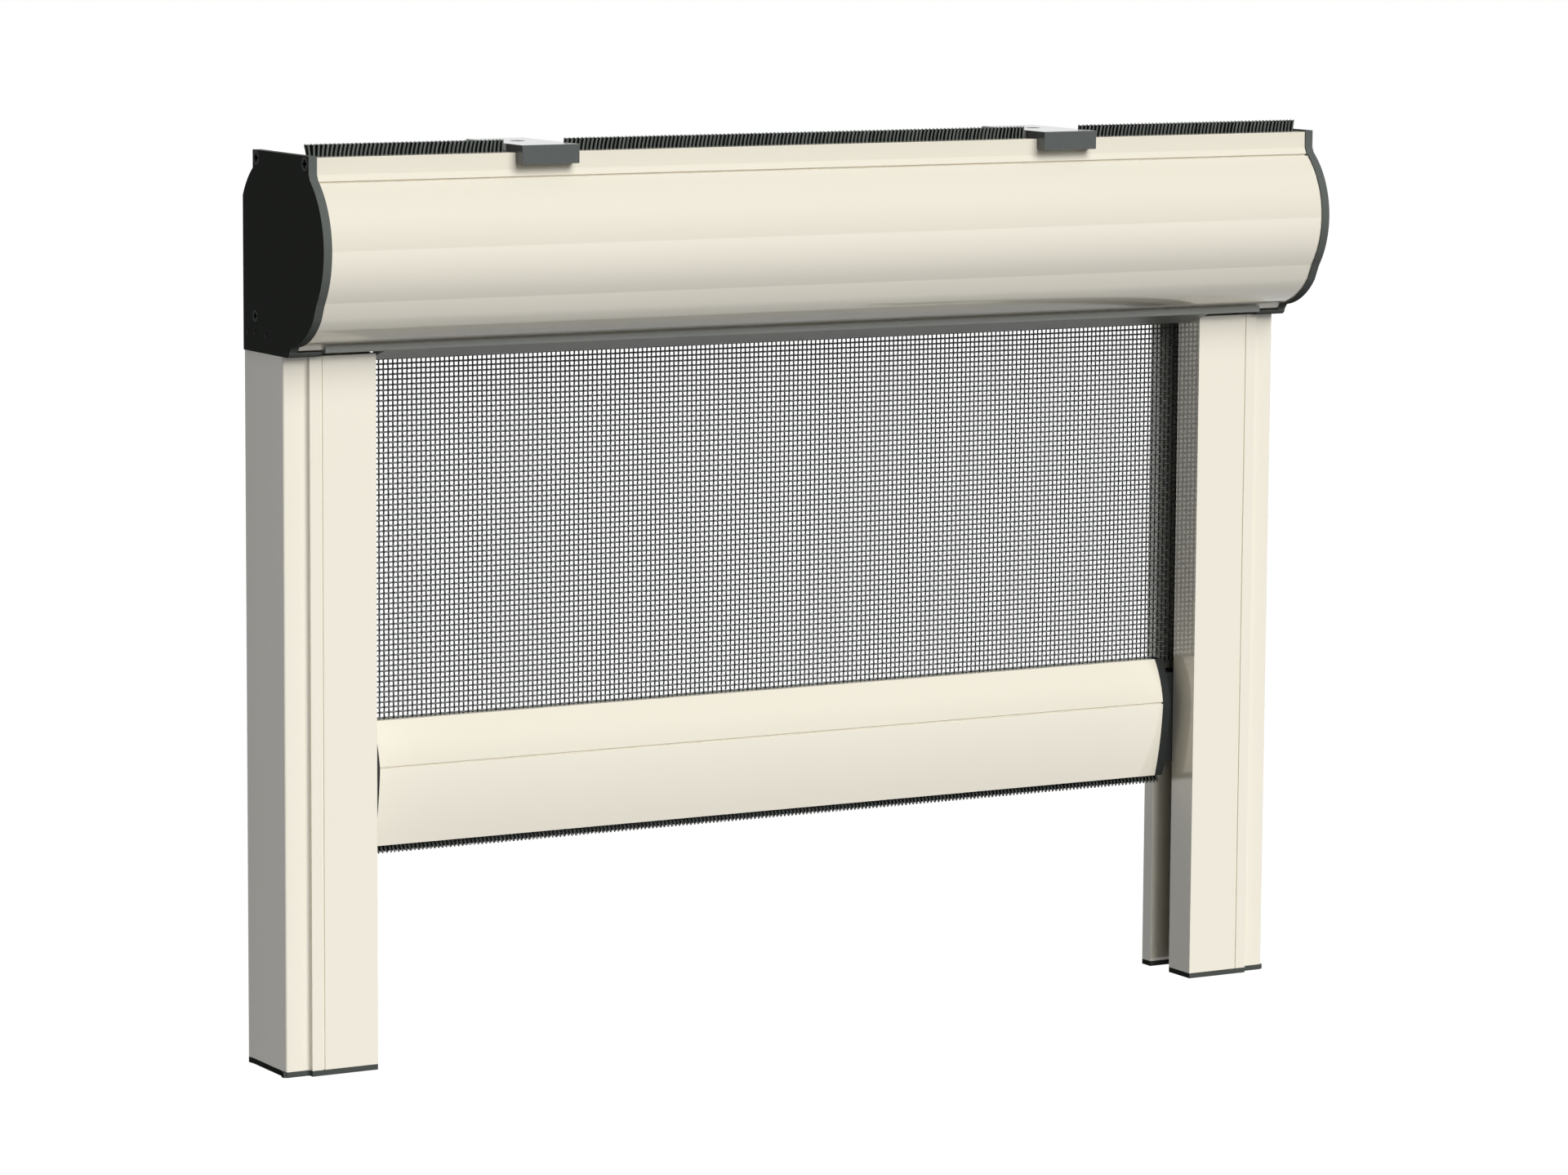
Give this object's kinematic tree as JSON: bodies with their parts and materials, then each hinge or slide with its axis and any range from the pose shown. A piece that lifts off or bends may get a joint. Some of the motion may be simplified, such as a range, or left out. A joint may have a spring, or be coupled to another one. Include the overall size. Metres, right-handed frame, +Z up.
{
  "type": "window insect screen",
  "caption": "Sprung roller insect screen for a window: round-fronted head box over slotted side guides, with a fine net drawn part way down by a curved bottom bar.",
  "frame": {"origin": "on the sill under the feet, half way along the head box and half way through its depth", "axes": "+X along the head box towards the right-hand end seen from the front, +Y from the rounded front to the flat back, +Z up"},
  "size_m": [0.315, 0.05, 0.2492],
  "materials": {
    "cream_coat": "satin cream powder coat",
    "dark_plastic": "fine-grained dark grey moulding",
    "grey_trim": "mid grey extruded plastic",
    "brush_pile": "dense grey polypropylene pile",
    "net_yarn": "coated glass-fibre yarn, near black",
    "black_cord": "smooth black cord",
    "screw_steel": "black zinc plated",
    "bright_steel": "bright drawn steel",
    "white_nylon": "natural nylon",
    "plain_aluminium": "mill finish"
  },
  "bodies": {
    "frame": {"head_box": "cream_coat", "guide_rail_left": "cream_coat", "guide_rail_right": "cream_coat", "end_cap_left": "dark_plastic", "end_cap_right": "dark_plastic", "lintel_clip_left": "dark_plastic", "lintel_clip_right": "dark_plastic", "guide_foot_left": "dark_plastic", "guide_foot_right": "dark_plastic", "lead_in_left": "dark_plastic", "lead_in_right": "dark_plastic", "lip_trim": "grey_trim", "cap_screws": "screw_steel", "lead_in_screws": "screw_steel", "top_brush_left": "brush_pile", "top_brush_middle": "brush_pile", "top_brush_right": "brush_pile", "guide_brush_front_left": "brush_pile", "guide_brush_front_right": "brush_pile", "guide_brush_rear_left": "brush_pile", "guide_brush_rear_right": "brush_pile", "pivot_pin": "bright_steel", "spring_shaft": "bright_steel", "torsion_spring": "bright_steel", "spring_anchor": "white_nylon", "net_sheet": "net_yarn"},
    "roller": {"roller_tube": "plain_aluminium", "tube_spline": "black_cord", "net_roll": "net_yarn", "roller_plug_left": "white_nylon", "roller_plug_right": "white_nylon", "spring_carrier": "white_nylon"},
    "bar": {"bottom_bar": "cream_coat", "bar_cap_left": "dark_plastic", "bar_cap_right": "dark_plastic", "bar_brush": "brush_pile", "bar_spline": "black_cord"}
  },
  "joints": [
    {"name": "bar_slide", "type": "slide", "parent": "frame", "child": "bar", "axis": [0, 0, 1], "range_m": [-0.0565, 0.1], "deforming": ["net_sheet"]},
    {"name": "roller_spin", "type": "hinge", "parent": "frame", "child": "roller", "pos_m": [0, -0.0013, 0.2219], "axis": [1, 0, 0], "range_deg": [-191, 338]}
  ],
  "couplings": [
    {"joint": "roller_spin", "follows": "bar_slide", "rad_per_m": 58.824}
  ]
}
